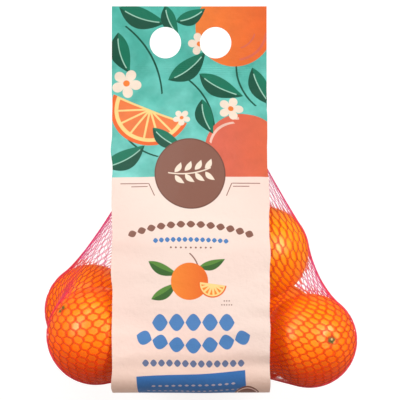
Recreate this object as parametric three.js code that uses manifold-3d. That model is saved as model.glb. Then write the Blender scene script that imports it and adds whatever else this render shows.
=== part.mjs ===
// A net bag filled with navel oranges, lying on its back, with a film label band wrapped round it lengthwise.
// The band runs up the front, is welded to itself as a flat carry header with two finger holes, and comes
// back under the pack. Millimetres, +Z up, +Y towards the header, +X to the right of the label. The pack
// lies on Z = 0, and the origin is the middle of its bounding box's bottom face.
import * as THREE from "three";
import { mergeVertices } from "three/addons/utils/BufferGeometryUtils.js";
import Module from "manifold-3d";

const wasm = await Module();
wasm.setup();

// ---- Driving dimensions, in a working frame whose floor is Z = 0 ----

const NET_THICKNESS = 1.2; // the strands' outer side lies this far off the peel
const FILM_THICKNESS = 0.8; // the film is drawn thick enough to be one sound solid
const CLEARANCE = 0.35; // between the net and the film
const FRUIT_GAP = 0.3; // between one orange and the next

// The oranges that lie on the film or the floor.
const LOWER_FRUIT = [
  { name: "left_low", x: -85.6, y: -90.3, r: 37.6 },
  { name: "middle_low", x: -11.4, y: -101, r: 37 },
  { name: "right_low", x: 62.8, y: -104, r: 36.8 },
  { name: "centre_low", x: 3.5, y: -28, r: 36.6 },
];

// The oranges that lie on those.
const UPPER_FRUIT = [
  { name: "left_top", x: -80.6, y: -107.4, r: 38.3 },
  { name: "middle_top", x: 3.5, y: -113, r: 37 },
  { name: "right_top", x: 87.5, y: -111.7, r: 36.5 },
  { name: "right_upper", x: 49.8, y: -42.5, r: 36.9 },
  { name: "left_upper", x: -31.5, y: -43, r: 36.8 },
];

// The net is a tube, welded flat at its bottom seam and gathered flat at its mouth, between the film layers.
const CORE_HALF = 55; // half the length of the flat core that the net is stretched round
const CORE_Z = 76;
const SEAM_Y = -144;
const FAN_Y = -95; // past here the net turns in towards its bottom seam
const MOUTH = { x: 6, y: 92, half: 12, side: 6, flat: 0.6 };
const TAPER_START_Y = -60; // from here the core narrows towards the mouth
const SEAM_TILT = THREE.MathUtils.degToRad(87);

// How much harder the net pulls along its length than round its girth: low where it hugs the fruit, high
// where it runs straight to the header.
const PULL = { low: 1.5, high: 25, fromY: -60, toY: 40 };

const ROUND_COLUMNS = 20; // columns round each end of the core
const STRAIGHT_COLUMNS = 13; // columns across its front, and as many across its back
const FAN_ROWS = 12;
const BODY_ROWS = 29;
const SLACK_START = 75; // the net's distance from the core before it is drawn tight
const MAX_PASSES = 1500;
const SETTLED = 0.003;

const BAND = { x: -7.5, width: 123.4 };
const HEADER = { z: 78, weldY: 96, startY: 94, topY: 153.4 };
const FINGER_HOLE = { x: -6.5, y: 124.4, spacing: 40, r: 12.5, sides: 36 };
const HULL_STEP = THREE.MathUtils.degToRad(5);

// ---- The oranges' places ----

const BED_Z = FILM_THICKNESS + CLEARANCE + NET_THICKNESS; // the height that the lowest peel lies at

// The height at which an upper orange comes to rest on the highest of the lower ones under it.
function restingHeight(fruit, lower) {
  const heights = lower.map((under) => {
    const apart = Math.hypot(fruit.x - under.x, fruit.y - under.y);
    const touching = fruit.r + under.r + FRUIT_GAP;
    return apart < touching ? under.z + Math.sqrt(touching ** 2 - apart ** 2) : 0;
  });
  return Math.max(...heights);
}

function placeFruit() {
  const lower = LOWER_FRUIT.map((f) => ({ ...f, z: BED_Z + f.r }));
  const upper = UPPER_FRUIT.map((f) => ({ ...f, z: restingHeight(f, lower) }));
  return [...lower, ...upper];
}

const fruit = placeFruit();

// ---- The net, drawn tight over the oranges ----

// The net's columns: where each starts across the core, from -1 to 1, and the angle that it leaves at.
function netColumns() {
  const columns = [];
  for (const side of [1, -1]) {
    const firstAngle = side === 1 ? -Math.PI / 2 : Math.PI / 2;
    for (let i = 0; i <= ROUND_COLUMNS; i++) {
      columns.push({ across: side, angle: firstAngle + (Math.PI * i) / ROUND_COLUMNS });
    }
    for (let i = 1; i < STRAIGHT_COLUMNS; i++) {
      const angle = side === 1 ? Math.PI / 2 : (3 * Math.PI) / 2;
      columns.push({ across: side * (1 - (2 * i) / STRAIGHT_COLUMNS), angle });
    }
  }
  return columns;
}

// The net's rows, from the bottom seam to the mouth: the core's middle, half length, height and place along
// the pack, and how far the row leans towards the seam.
function netRows() {
  const rows = [];
  for (let i = 0; i < FAN_ROWS; i++) {
    const lean = SEAM_TILT * (1 - i / FAN_ROWS);
    rows.push({ x: 0, half: CORE_HALF, z: CORE_Z, y: FAN_Y, lean });
  }
  for (let i = 0; i <= BODY_ROWS; i++) {
    const y = THREE.MathUtils.lerp(FAN_Y, MOUTH.y, i / BODY_ROWS);
    const taper = THREE.MathUtils.smoothstep(y, TAPER_START_Y, MOUTH.y);
    rows.push({
      x: THREE.MathUtils.lerp(0, MOUTH.x, taper),
      half: THREE.MathUtils.lerp(CORE_HALF, MOUTH.half, taper),
      z: THREE.MathUtils.lerp(CORE_Z, HEADER.z, taper),
      y,
      lean: 0,
    });
  }
  return rows;
}

// The line that one knot of the net may move along.
function knotRay(row, column) {
  const origin = new THREE.Vector3(row.x + row.half * column.across, row.y, row.z);
  const direction = new THREE.Vector3(
    Math.cos(row.lean) * Math.cos(column.angle),
    -Math.sin(row.lean),
    Math.cos(row.lean) * Math.sin(column.angle),
  );
  return new THREE.Ray(origin, direction);
}

// How far out along its line a knot has to stay to clear every orange.
function reachPastFruit(ray) {
  let reach = 0;
  for (const f of fruit) {
    const toCentre = new THREE.Vector3(f.x, f.y, f.z).sub(ray.origin);
    const along = toCentre.dot(ray.direction);
    const inside = along ** 2 - toCentre.lengthSq() + (f.r + NET_THICKNESS) ** 2;
    if (inside > 0) reach = Math.max(reach, along + Math.sqrt(inside));
  }
  return reach;
}

// How far out a knot may be before it comes within the film's clearance of the floor.
function reachToFloor(ray) {
  const floor = FILM_THICKNESS + CLEARANCE;
  return ray.direction.z < 0 ? (floor - ray.origin.z) / ray.direction.z : Infinity;
}

function lengthwisePull(y) {
  const share = THREE.MathUtils.smoothstep(y, PULL.fromY, PULL.toY);
  return PULL.low * (PULL.high / PULL.low) ** share;
}

// How far the mouth's flat oval reaches from the core at an angle.
function mouthReach(angle) {
  const { side, flat } = MOUTH;
  return (side * flat) / Math.hypot(flat * Math.cos(angle), side * Math.sin(angle));
}

// The knots' places, row by row, once the net has been drawn tight.
function tightNet(rows, columns) {
  const last = rows.length - 1;
  const across = columns.length;
  const rays = rows.map((row) => columns.map((column) => knotRay(row, column)));
  const reach = rays.map((line) => line.map(reachPastFruit));
  const floor = rays.map((line) => line.map(reachToFloor));
  const out = rays.map((line, j) =>
    line.map((ray, i) => {
      if (j === 0) return FAN_Y - SEAM_Y;
      if (j === last) return mouthReach(columns[i].angle);
      return Math.max(reach[j][i], SLACK_START);
    }),
  );
  const knots = rays.map((line, j) => line.map((ray, i) => ray.at(out[j][i], new THREE.Vector3())));
  const middle = new THREE.Vector3();
  for (let pass = 0, moved = Infinity; pass < MAX_PASSES && moved > SETTLED; pass++) {
    moved = 0;
    const before = knots.map((line) => line.map((knot) => knot.clone()));
    for (let j = 1; j < last; j++) {
      const pull = lengthwisePull(rows[j].y);
      for (let i = 0; i < across; i++) {
        const left = before[j][(i + across - 1) % across];
        const right = before[j][(i + 1) % across];
        middle.addVectors(before[j - 1][i], before[j + 1][i]).multiplyScalar(pull);
        middle.add(left).add(right).divideScalar(2 * (pull + 1));
        const wanted = middle.sub(rays[j][i].origin).dot(rays[j][i].direction);
        const next = Math.min(Math.max(wanted, reach[j][i]), floor[j][i]);
        moved = Math.max(moved, Math.abs(next - out[j][i]));
        out[j][i] = next;
        rays[j][i].at(next, knots[j][i]);
      }
    }
  }
  return knots;
}

// A closed skin over the rows of knots, with the first and last row capped flat.
function skinGeometry(knots) {
  const across = knots[0].length;
  const points = knots.flat();
  const faces = [];
  const knot = (j, i) => j * across + (i % across);
  for (let j = 0; j + 1 < knots.length; j++) {
    for (let i = 0; i < across; i++) {
      faces.push(knot(j, i), knot(j + 1, i + 1), knot(j, i + 1));
      faces.push(knot(j, i), knot(j + 1, i), knot(j + 1, i + 1));
    }
  }
  for (const j of [0, knots.length - 1]) {
    const hub = points.length;
    const middle = knots[j].reduce((sum, p) => sum.add(p), new THREE.Vector3());
    points.push(middle.divideScalar(across));
    for (let i = 0; i < across; i++) {
      const edge = [knot(j, i), knot(j, i + 1)];
      if (j > 0) edge.reverse();
      faces.push(hub, ...edge);
    }
  }
  const geometry = new THREE.BufferGeometry().setFromPoints(points);
  geometry.setIndex(faces);
  return geometry;
}

// ---- The film band ----

// The circles that the filled net shows in a section along the pack, anywhere in the band's width.
function circlesUnderBand() {
  const circles = [];
  for (const f of fruit) {
    const beyond = Math.max(0, Math.abs(f.x - BAND.x) - BAND.width / 2);
    const radius = f.r + NET_THICKNESS;
    if (beyond < radius) circles.push({ y: f.y, z: f.z, r: Math.sqrt(radius ** 2 - beyond ** 2) });
  }
  return circles;
}

// The outline of a film drawn tight round those circles and the weld, this far off them.
function tightOutline(offset, weldRadius) {
  const circles = circlesUnderBand().map((c) => ({ ...c, r: c.r + offset }));
  circles.push({ y: HEADER.weldY, z: HEADER.z, r: weldRadius });
  const outline = [];
  for (let angle = 0; angle < 2 * Math.PI - HULL_STEP / 2; angle += HULL_STEP) {
    const [cos, sin] = [Math.cos(angle), Math.sin(angle)];
    const support = (c) => c.y * cos + c.z * sin + c.r;
    const c = circles.reduce((best, next) => (support(next) > support(best) ? next : best));
    const point = new THREE.Vector2(c.y + c.r * cos, c.z + c.r * sin);
    if (!outline.length || outline.at(-1).distanceTo(point) > SETTLED) outline.push(point);
  }
  return outline;
}

// A prism across the band's width from an outline of places along the pack and heights.
function acrossBand(outline) {
  const [y, z, x] = [new THREE.Vector3(0, 1, 0), new THREE.Vector3(0, 0, 1), new THREE.Vector3(1, 0, 0)];
  return new THREE.ExtrudeGeometry(new THREE.Shape(outline), { depth: BAND.width, bevelEnabled: false })
    .applyMatrix4(new THREE.Matrix4().makeBasis(y, z, x))
    .translate(BAND.x - BAND.width / 2, 0, 0);
}

function headerGeometry() {
  const length = HEADER.topY - HEADER.startY;
  return new THREE.BoxGeometry(BAND.width, length, 2 * FILM_THICKNESS).translate(
    BAND.x,
    HEADER.startY + length / 2,
    HEADER.z,
  );
}

function fingerHoleGeometry(side) {
  const cutLength = 6 * FILM_THICKNESS;
  return new THREE.CylinderGeometry(FINGER_HOLE.r, FINGER_HOLE.r, cutLength, FINGER_HOLE.sides)
    .rotateX(Math.PI / 2)
    .translate(FINGER_HOLE.x + (side * FINGER_HOLE.spacing) / 2, FINGER_HOLE.y, HEADER.z);
}

function labelBandSolid() {
  const outside = solid(acrossBand(tightOutline(CLEARANCE + FILM_THICKNESS, FILM_THICKNESS)));
  const inside = solid(acrossBand(tightOutline(CLEARANCE, 0)));
  let film = outside.subtract(inside).add(solid(headerGeometry()));
  for (const side of [-1, 1]) film = film.subtract(solid(fingerHoleGeometry(side)));
  return film;
}

// ---- Solids, meshes and the finished group ----

// A closed geometry as a solid that can be joined and cut.
function solid(geometry) {
  const bare = geometry.clone();
  bare.deleteAttribute("normal");
  bare.deleteAttribute("uv");
  const merged = mergeVertices(bare, 1e-4);
  const vertProperties = merged.attributes.position.array;
  const triVerts = new Uint32Array(merged.index.array);
  return new wasm.Manifold(new wasm.Mesh({ numProp: 3, vertProperties, triVerts }));
}

function meshOf(name, made, material) {
  const { vertProperties, triVerts } = made.getMesh();
  const geometry = new THREE.BufferGeometry();
  geometry.setAttribute("position", new THREE.BufferAttribute(vertProperties, 3));
  geometry.setIndex(new THREE.BufferAttribute(triVerts, 1));
  geometry.computeVertexNormals();
  const mesh = new THREE.Mesh(geometry, material);
  mesh.name = name;
  return mesh;
}

const filledNet = meshOf(
  "filled_net",
  solid(skinGeometry(tightNet(netRows(), netColumns()))),
  new THREE.MeshStandardMaterial({ color: 0xf0642a, roughness: 0.55, metalness: 0 }),
);

const labelBand = meshOf(
  "label_band",
  labelBandSolid(),
  new THREE.MeshStandardMaterial({ color: 0xf6dccb, roughness: 0.4, metalness: 0 }),
);

const pack = new THREE.Group();
pack.add(filledNet, labelBand);

// The origin goes to the middle of the bounding box's bottom face.
const box = new THREE.Box3().setFromObject(pack);
const centre = box.getCenter(new THREE.Vector3());
pack.position.set(-centre.x, -centre.y, -box.min.z);

const part = new THREE.Group();
part.add(pack);

export default part;
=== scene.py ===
"""A net bag of navel oranges with a printed film band, dressed for looks.

The pack lies on its back: the band's front faces +z, its carry header points along +y. Shapes are worked
out in millimetres in a working frame whose floor is z = 0, and metres() moves them to the frame's origin.
"""
import math

import bpy
import numpy as np
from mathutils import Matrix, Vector
from mathutils.bvhtree import BVHTree


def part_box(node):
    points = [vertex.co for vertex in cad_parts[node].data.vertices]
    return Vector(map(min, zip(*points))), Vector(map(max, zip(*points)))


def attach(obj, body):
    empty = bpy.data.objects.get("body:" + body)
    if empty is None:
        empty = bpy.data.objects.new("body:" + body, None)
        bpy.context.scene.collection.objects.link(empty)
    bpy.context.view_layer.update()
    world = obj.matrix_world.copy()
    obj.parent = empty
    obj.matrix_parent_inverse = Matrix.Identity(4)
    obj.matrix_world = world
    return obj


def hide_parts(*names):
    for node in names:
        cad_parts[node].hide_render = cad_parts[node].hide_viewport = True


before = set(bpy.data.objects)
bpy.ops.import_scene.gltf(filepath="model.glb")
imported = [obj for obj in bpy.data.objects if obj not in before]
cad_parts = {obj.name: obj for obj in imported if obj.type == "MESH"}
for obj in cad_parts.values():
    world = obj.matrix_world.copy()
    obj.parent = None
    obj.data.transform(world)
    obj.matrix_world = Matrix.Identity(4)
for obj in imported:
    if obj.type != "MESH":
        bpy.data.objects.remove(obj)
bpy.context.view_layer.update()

MM = 0.001

# ---- Sizes, in millimetres in the working frame ----

NET_THICKNESS = 1.2  # the net's outer side lies this far off the peel
FILM_THICKNESS = 0.8  # as drawn in the frame
CLEARANCE = 0.35  # between the film and the net
FRUIT_GAP = 0.3  # between two oranges
BED_Z = FILM_THICKNESS + CLEARANCE + NET_THICKNESS  # where the lowest peel lies

# name: x, y, radius, and the way that its stem end points
LOWER_FRUIT = {
    "left_low": (-85.6, -90.3, 37.6, (0.46, 0.81, 0.36)),
    "middle_low": (-11.4, -101, 37, (0.5, -0.5, -0.6)),
    "right_low": (62.8, -104, 36.8, (0.8, 0.3, -0.4)),
    "centre_low": (3.5, -28, 36.6, (-0.3, 0.7, 0.5)),
}
UPPER_FRUIT = {
    "left_top": (-80.6, -107.4, 38.3, (-0.72, 0.56, 0.42)),
    "middle_top": (3.5, -113, 37, (0.1, -0.9, 0.3)),
    "right_top": (87.5, -111.7, 36.5, (0.45, 0.05, 0.88)),
    "right_upper": (49.8, -42.5, 36.9, (0.1, -0.3, -0.95)),
    "left_upper": (-31.5, -43, 36.8, (-0.4, 0.2, 0.85)),
}
SHOWN_FRUIT = ("left_low", "left_top", "right_top", "right_upper")
RIPENESS = {"left_low": 0.6, "left_top": 0.8, "right_top": 0.7, "right_upper": 0.0}  # the rest are at 0.5

# The net is a tube stretched round a flat core, welded at its bottom seam and gathered at its mouth.
CORE_HALF, CORE_Z = 55, 76
SEAM_Y, FAN_Y, SEAM_TILT = -144, -95, math.radians(87)
MOUTH = {"x": 6, "y": 92, "half": 12, "side": 6, "flat": 0.6}
TAPER_START_Y = -60  # from here up, the core narrows to the mouth
PULL = {"low": 1.5, "high": 25, "from_y": -60, "to_y": 40}  # how much tighter it is lengthwise than round
ROUND_COLUMNS, STRAIGHT_COLUMNS = 20, 13
FAN_ROWS, BODY_ROWS = 12, 29
SLACK_START = 75  # how far off the core each knot starts
MAX_PASSES, SETTLED = 1500, 0.003
FINER = 4  # steps from one knot to the next on the smooth skin

CHAINS, STITCHES, POINTS_PER_STITCH = 152, 52, 6
STRAND_WIDTH, STRAND_THICKNESS, STRAND_DEPTH = 1.2, 0.6, 0.5
STRAND_SIDES = 6
SKIN_ROWS_PER_STITCH = 3
# Stitches lengthen towards the header, more so on the right than on the left.
STITCH_GROWTH = {"left": 0.45, "right": 1.6, "from_y": -110, "to_y": 50, "half_blend": 40}
INWARD_SIGHT = (0.04, 0.04, 1.0)  # turns the skin's facing nearly straight down, or up from the back
NO_PEEL = 99.0  # the depth that stands for none
BARE = {"from": 76, "blend": 18}  # with no peel within this depth, a strand hangs free
EDGE_ON = (0.04, 0.4)  # how level the skin lies where it is fully, and no longer, seen edge-on
NET_PIECES = ("net_right_back", "net_right_front", "net_left_front", "net_left_back")

BAND = {"x": -7.5, "width": 123.4}
HEADER = {"z": 78, "weld_y": 96, "top_y": 153.4}
FINGER_HOLE = {"x": -6.5, "y": 124.4, "spacing": 40, "radius": 12.5}
FILM_SHEET = 0.3  # the thickness that the film is given here
FILM_STEP = 1.6  # between two points of its grid
LAYER_GAP = 0.2  # from the weld's middle to the middle of each film layer


def metres(points):
    """Points of the working frame, in millimetres, as points of the CAD frame, in metres."""
    low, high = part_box("label_band")
    shift = ((low.x + high.x) / 2 / MM - BAND["x"], high.y / MM - HEADER["top_y"], 0)
    return (np.asarray(points, float) + shift) * MM


def smoothstep(value, low, high):
    share = np.clip((value - low) / (high - low), 0, 1)
    return share * share * (3 - 2 * share)


# ---- Node trees: wires that take part in sums ----


def feed(socket, value):
    """Gives a socket its value, or wires it to another node's output."""
    if isinstance(value, Wire):
        value = value.socket
    if isinstance(value, bpy.types.NodeSocket):
        socket.id_data.links.new(value, socket)
    else:
        socket.default_value = value


def node(tree, kind, inputs=None, **settings):
    made = tree.nodes.new(kind)
    for name, value in settings.items():
        setattr(made, name, value)
    for key, value in (inputs or {}).items():
        feed(made.inputs[key], value)
    return made


class Wire:
    """A number inside a node tree. Each operation on it adds a Math node to that tree."""

    def __init__(self, socket):
        self.socket = socket

    def math(self, operation, *others, clamp=False):
        made = node(self.socket.id_data, "ShaderNodeMath", operation=operation, use_clamp=clamp)
        for slot, value in zip(made.inputs, (self, *others)):
            feed(slot, value)
        return Wire(made.outputs[0])

    def __add__(self, other):
        return self.math("ADD", other)

    def __sub__(self, other):
        return self.math("SUBTRACT", other)

    def __rsub__(self, other):
        return self.math("MULTIPLY_ADD", -1.0, other)

    def __mul__(self, other):
        return self.math("MULTIPLY", other)

    def __truediv__(self, other):
        return self.math("DIVIDE", other)

    def __rtruediv__(self, other):
        return self.math("POWER", -1.0) * other

    def __neg__(self):
        return self.math("MULTIPLY", -1.0)

    def __abs__(self):
        return self.math("ABSOLUTE")

    def __mod__(self, other):
        return self.math("FLOORED_MODULO", other)

    __radd__ = __add__
    __rmul__ = __mul__

    def clamp(self):
        return self.math("ADD", 0.0, clamp=True)

    def least(self, other):
        return self.math("MINIMUM", other)

    def most(self, other):
        return self.math("MAXIMUM", other)


def hypot(a, b):
    return (a * a + b * b).math("SQRT")


def vector(tree, x, y, z):
    return Wire(node(tree, "ShaderNodeCombineXYZ", {"X": x, "Y": y, "Z": z}).outputs[0])


def split(wire):
    return [Wire(s) for s in node(wire.socket.id_data, "ShaderNodeSeparateXYZ", {0: wire}).outputs]


def vector_math(operation, *values):
    tree = next(v for v in values if isinstance(v, Wire)).socket.id_data
    made = node(tree, "ShaderNodeVectorMath", operation=operation)
    slots = [s for s in made.inputs if s.enabled]
    for slot, value in zip(slots, values):
        feed(slot, value)
    return Wire(next(s for s in made.outputs if s.enabled))


def new_tree(name, kind, inputs, outputs):
    """A node group with these inputs, as name: (socket type, default), and outputs, as name: socket type."""
    tree = bpy.data.node_groups.new(name, kind)
    for label, (socket_type, default) in inputs.items():
        socket = tree.interface.new_socket(label, in_out="INPUT", socket_type="NodeSocket" + socket_type)
        if default is not None:
            socket.default_value = default
    for label, socket_type in outputs.items():
        tree.interface.new_socket(label, in_out="OUTPUT", socket_type="NodeSocket" + socket_type)
    start = tree.nodes.new("NodeGroupInput")
    end = tree.nodes.new("NodeGroupOutput")
    given = {s.name: Wire(s) for s in start.outputs if s.name}
    return tree, given, end


def placed_group(tree, group, inputs):
    """A group node in a tree, with its inputs fed; its outputs as wires by name."""
    made = node(tree, tree.bl_idname.replace("Tree", "Group"))
    made.node_tree = group
    for name, value in inputs.items():
        feed(made.inputs[name], value)
    return {s.name: Wire(s) for s in made.outputs}


def place_in(tree):
    """Each point's place, in a geometry tree."""
    return Wire(node(tree, "GeometryNodeInputPosition").outputs[0])


def named(tree, name, kind):
    """The value of a named attribute."""
    return Wire(node(tree, "GeometryNodeInputNamedAttribute", {"Name": name}, data_type=kind).outputs[0])


def stored(tree, geometry, name, kind, value):
    """Geometry that keeps a value under a name."""
    kept = {"Geometry": geometry, "Name": name, "Value": value}
    return Wire(node(tree, "GeometryNodeStoreNamedAttribute", kept, data_type=kind).outputs[0])


def close(tree, geometry, material, end):
    """Ends a tree: smooth shading, instances made real, and the material set."""
    smooth = Wire(node(tree, "GeometryNodeSetShadeSmooth", {"Geometry": geometry}).outputs[0])
    real = Wire(node(tree, "GeometryNodeRealizeInstances", {"Geometry": smooth}).outputs[0])
    dressed = node(tree, "GeometryNodeSetMaterial", {"Geometry": real, "Material": material})
    feed(end.inputs[0], Wire(dressed.outputs[0]))


# ---- Meshes ----


def new_object(name, mesh):
    made = bpy.data.objects.new(name, mesh)
    bpy.context.scene.collection.objects.link(made)
    return made


def grid_parts(points):
    """Rows of points as a list of places and a list of quads over them."""
    rows, columns = points.shape[:2]
    number = np.arange(rows * columns).reshape(rows, columns)
    corners = (number[:-1, :-1], number[1:, :-1], number[1:, 1:], number[:-1, 1:])
    return points.reshape(-1, 3).tolist(), np.stack(corners, -1).reshape(-1, 4).tolist()


def grid_mesh(name, points, attributes=None):
    """A sheet of quads from rows of points in metres, facing along (next row) x (next column)."""
    places, faces = grid_parts(points)
    mesh = bpy.data.meshes.new(name)
    mesh.from_pydata(places, [], faces)
    for label, (kind, values) in (attributes or {}).items():
        attribute = mesh.attributes.new(label, kind, "POINT")
        field = "vector" if kind == "FLOAT_VECTOR" else "value"
        attribute.data.foreach_set(field, np.ascontiguousarray(values, np.float32).ravel())
    mesh.shade_smooth()
    return mesh


def grown(obj, tree, values):
    """Runs a Geometry Nodes tree on an object and leaves its result as the object's plain mesh."""
    modifier = obj.modifiers.new(tree.name, "NODES")
    modifier.node_group = tree
    for item in tree.interface.items_tree:
        if item.in_out == "INPUT" and item.name in values:
            modifier[item.identifier] = values[item.name]
    obj.update_tag()
    depsgraph = bpy.context.evaluated_depsgraph_get()
    made = bpy.data.meshes.new_from_object(obj.evaluated_get(depsgraph), depsgraph=depsgraph)
    obj.modifiers.remove(modifier)
    material = next(m for m in made.materials if m)
    made.materials.clear()
    made.materials.append(material)
    made.polygons.foreach_set("material_index", np.zeros(len(made.polygons), np.int32))
    obj.data = made


def finished(obj, node_name):
    """Puts a piece on the pack's one body, in place of a CAD node."""
    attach(obj, "root")
    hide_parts(node_name)


# ---- Where the oranges lie ----


def placed_fruit():
    """name: (centre, radius, stem direction), with the upper oranges resting on the lower ones."""
    fruit = {}
    for name, (x, y, radius, stem) in LOWER_FRUIT.items():
        fruit[name] = (np.array([x, y, BED_Z + radius]), radius, stem)
    lower = list(fruit.values())
    for name, (x, y, radius, stem) in UPPER_FRUIT.items():
        height = 0.0
        for centre, under, _ in lower:
            apart = math.hypot(x - centre[0], y - centre[1])
            touching = radius + under + FRUIT_GAP
            if apart < touching:
                height = max(height, centre[2] + math.sqrt(touching**2 - apart**2))
        fruit[name] = (np.array([x, y, height]), radius, stem)
    return fruit


FRUIT = placed_fruit()
BALLS = [(centre, radius) for centre, radius, _ in FRUIT.values()]


# ---- The net's skin, drawn tight over the oranges ----


def net_columns():
    """Where each column of knots starts across the core, from -1 to 1, and the angle that it leaves at."""
    columns = []
    for side in (1, -1):
        first, across = (-math.pi / 2, math.pi / 2) if side == 1 else (math.pi / 2, 3 * math.pi / 2)
        columns += [(side, first + math.pi * i / ROUND_COLUMNS) for i in range(ROUND_COLUMNS + 1)]
        columns += [(side * (1 - 2 * i / STRAIGHT_COLUMNS), across) for i in range(1, STRAIGHT_COLUMNS)]
    return np.array(columns).T


def net_rows():
    """Each row's middle x, half length, height, y and lean, from the bottom seam to the mouth."""
    rows = []
    for i in range(FAN_ROWS):
        rows.append((0, CORE_HALF, CORE_Z, FAN_Y, SEAM_TILT * (1 - i / FAN_ROWS)))
    for y in np.linspace(FAN_Y, MOUTH["y"], BODY_ROWS + 1):
        taper = smoothstep(y, TAPER_START_Y, MOUTH["y"])
        half = CORE_HALF + (MOUTH["half"] - CORE_HALF) * taper
        rows.append((MOUTH["x"] * taper, half, CORE_Z + (HEADER["z"] - CORE_Z) * taper, y, 0))
    return np.array(rows, float).T


def chord(origin, way, centre, radius):
    """How far along each ray the middle of its chord through a ball lies, and half the chord squared,
    which is below 0 where the ray misses."""
    to_centre = centre - origin
    middle = (to_centre * way).sum(-1)
    return middle, middle**2 - (to_centre**2).sum(-1) + radius**2


def tight_net():
    """The knots' places, row by row, once the net has been drawn tight over the fruit."""
    across, angle = net_columns()
    x, half, z, y, lean = (line[:, None] for line in net_rows())
    origin = np.stack(np.broadcast_arrays(x + half * across, y, z), -1)
    level = np.cos(lean)
    ways = (level * np.cos(angle), -np.sin(lean), level * np.sin(angle))
    direction = np.stack(np.broadcast_arrays(*ways), -1)

    reach = np.zeros(origin.shape[:2])
    for centre, radius in BALLS:
        along, inside = chord(origin, direction, centre, radius + NET_THICKNESS)
        reach = np.maximum(reach, np.where(inside > 0, along + np.sqrt(np.maximum(inside, 0)), 0))
    down = np.minimum(direction[..., 2], -1e-9)
    floor = (FILM_THICKNESS + CLEARANCE - origin[..., 2]) / down
    floor = np.where(direction[..., 2] < 0, floor, np.inf)

    out = np.maximum(reach, SLACK_START)
    out[0] = FAN_Y - SEAM_Y
    side, flat = MOUTH["side"], MOUTH["flat"]
    out[-1] = side * flat / np.hypot(flat * np.cos(angle), side * np.sin(angle))
    share = smoothstep(y[1:-1], PULL["from_y"], PULL["to_y"])
    pull = (PULL["low"] * (PULL["high"] / PULL["low"]) ** share)[..., None]
    for _ in range(MAX_PASSES):
        knots = origin + out[..., None] * direction
        middle = pull * (knots[:-2] + knots[2:]) + np.roll(knots, 1, 1)[1:-1] + np.roll(knots, -1, 1)[1:-1]
        wanted = ((middle / (2 * (pull + 1)) - origin[1:-1]) * direction[1:-1]).sum(-1)
        wanted = np.minimum(np.maximum(wanted, reach[1:-1]), floor[1:-1])
        moved = np.abs(wanted - out[1:-1]).max()
        out[1:-1] = wanted
        if moved < SETTLED:
            break
    return origin + out[..., None] * direction


def refined(points, steps, closed):
    """Points along the first axis, with steps - 1 more between each two, on a Catmull-Rom curve."""
    if closed:
        padded = np.concatenate([points[-1:], points, points[:2]])
    else:
        padded = np.concatenate([2 * points[:1] - points[1:2], points, 2 * points[-1:] - points[-2:-1]])
    before, start, end, after = padded[:-3], padded[1:-2], padded[2:-1], padded[3:]
    parts = []
    for t in np.arange(steps) / steps:
        spline = 2 * start + (end - before) * t + (2 * before - 5 * start + 4 * end - after) * t * t
        parts.append((spline + (3 * start - before - 3 * end + after) * t**3) / 2)
    fine = np.stack(parts, 1).reshape(-1, *points.shape[1:])
    return fine if closed else np.concatenate([fine, points[-1:]])


def at_equal_steps(line, count, weight=None):
    """count + 1 points along a line, the same length apart, where a weight may stretch that length."""
    length = np.linalg.norm(np.diff(line, axis=0), axis=1)
    if weight is not None:
        length = length * (weight[1:] + weight[:-1]) / 2
    place = np.concatenate([[0], np.cumsum(length)])
    wanted = np.linspace(0, place[-1], count + 1)
    return np.stack([np.interp(wanted, place, line[:, k]) for k in range(3)], 1)


def outside_fruit(points, distance):
    """Points moved straight out of any orange that they come closer to than a distance."""
    for centre, radius in BALLS:
        away = points - centre
        length = np.linalg.norm(away, axis=-1, keepdims=True)
        points = np.where(length < radius + distance, centre + away * (radius + distance) / length, points)
    return points


def skin_facing(skin):
    """The way that each point of the skin faces, into the pack."""
    faces = np.cross(np.gradient(skin, axis=1), np.gradient(skin, axis=0))
    return faces / np.linalg.norm(faces, axis=-1, keepdims=True)


def peel_behind(skin):
    """How far behind the net the next orange lies, looking into the pack from its front or back."""
    inwards = skin_facing(skin) * INWARD_SIGHT
    inwards /= np.linalg.norm(inwards, axis=-1, keepdims=True)
    nearest = np.full(skin.shape[:2], NO_PEEL)
    for centre, radius in BALLS:
        along, inside = chord(skin, inwards, centre, radius)
        hit = np.where((inside > 0) & (along > 0), along - np.sqrt(np.maximum(inside, 0)), NO_PEEL)
        nearest = np.minimum(nearest, hit)
    return nearest


def knit_skin():
    """The net's outer skin as a grid: one row every step along the chains, one column for each chain.
    It starts and ends at the middle of the back."""
    knots = refined(tight_net(), FINER, closed=False)
    knots = np.swapaxes(refined(np.swapaxes(knots, 0, 1), FINER, closed=True), 0, 1)
    half_round = knots.shape[1] // 2
    back_middle = int((2 * ROUND_COLUMNS + 1.5 * STRAIGHT_COLUMNS) * FINER)
    knots = np.roll(knots, -back_middle, axis=1)
    knots = np.concatenate([knots, knots[:, :1]], 1)
    rows = []
    for line in knots:
        right = at_equal_steps(line[: half_round + 1], CHAINS // 2)
        left = at_equal_steps(line[half_round:], CHAINS // 2)
        rows.append(np.concatenate([right, left[1:]]))
    rows = np.array(rows)
    columns = []
    for line in np.swapaxes(rows, 0, 1):
        growth = smoothstep(line[:, 1], STITCH_GROWTH["from_y"], STITCH_GROWTH["to_y"])
        side = smoothstep(line[:, 0], -STITCH_GROWTH["half_blend"], STITCH_GROWTH["half_blend"])
        by = STITCH_GROWTH["left"] + (STITCH_GROWTH["right"] - STITCH_GROWTH["left"]) * side
        columns.append(at_equal_steps(line, SKIN_ROWS_PER_STITCH * STITCHES, 1 / (1 + by * growth)))
    return outside_fruit(np.swapaxes(np.array(columns), 0, 1), NET_THICKNESS)


SKIN = knit_skin()


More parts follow.
